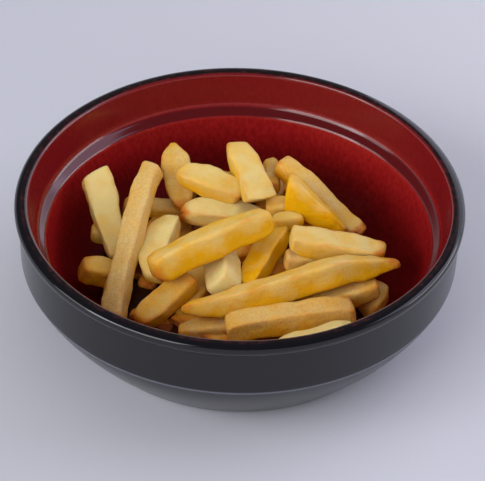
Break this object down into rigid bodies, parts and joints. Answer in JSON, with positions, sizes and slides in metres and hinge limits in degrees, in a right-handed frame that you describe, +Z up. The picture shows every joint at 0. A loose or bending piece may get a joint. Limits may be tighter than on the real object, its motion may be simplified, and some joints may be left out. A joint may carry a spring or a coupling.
{
  "type": "french fries portion",
  "caption": "Round glazed stoneware bowl with a rolled lip and an inner ledge, filled with a loose heap of thick-cut french fries.",
  "frame": {"origin": "middle of the circle that the bowl's foot stands on", "axes": "+Z up along the bowl's axis, +X to the right and +Y away as the portion is seen from its front"},
  "size_m": [0.18, 0.18, 0.0569],
  "materials": {
    "black_glaze": "glossy",
    "fried_potato": "matte, lightly oiled"
  },
  "bodies": {
    "root": {"bowl": "black_glaze", "fries": "fried_potato"}
  },
  "joints": []
}
